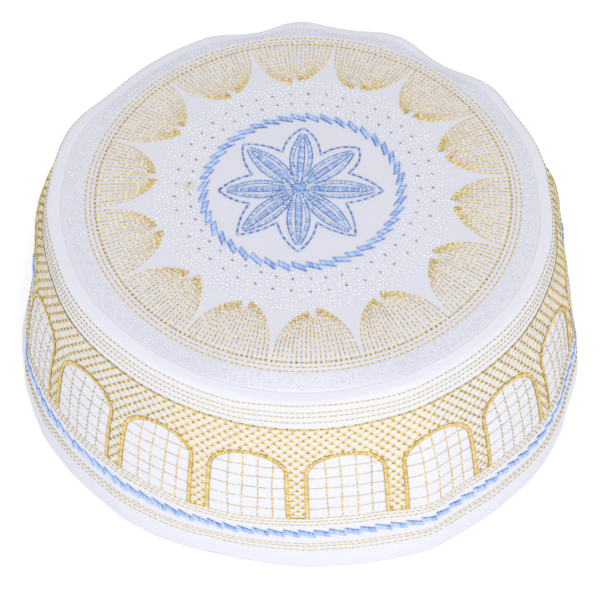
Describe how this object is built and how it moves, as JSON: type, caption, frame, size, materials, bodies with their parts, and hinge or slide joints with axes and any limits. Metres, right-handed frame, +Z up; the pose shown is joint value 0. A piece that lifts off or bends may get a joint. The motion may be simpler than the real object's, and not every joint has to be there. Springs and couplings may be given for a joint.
{
  "type": "prayer cap",
  "caption": "Round flat-topped prayer cap of stiffened white cloth: a domed crown sewn inside the shoulder of a flared side band, hollow and open below.",
  "frame": {"origin": "on the floor plane under the middle of the cap's box, at its open rim", "axes": "+Z up from the rim to the crown, -Y towards the front seen in the picture, +X to the viewer's right"},
  "size_m": [0.1846, 0.188, 0.0696],
  "materials": {
    "crown_cloth": "matt bluish white cotton, close stitched",
    "band_cloth": "matt white cotton, stiffened",
    "gold_thread": "silky pale gold embroidery thread",
    "blue_thread": "silky light blue embroidery thread",
    "white_thread": "white sewing thread"
  },
  "bodies": {
    "root": {"crown": "crown_cloth", "band": "band_cloth"}
  },
  "joints": []
}
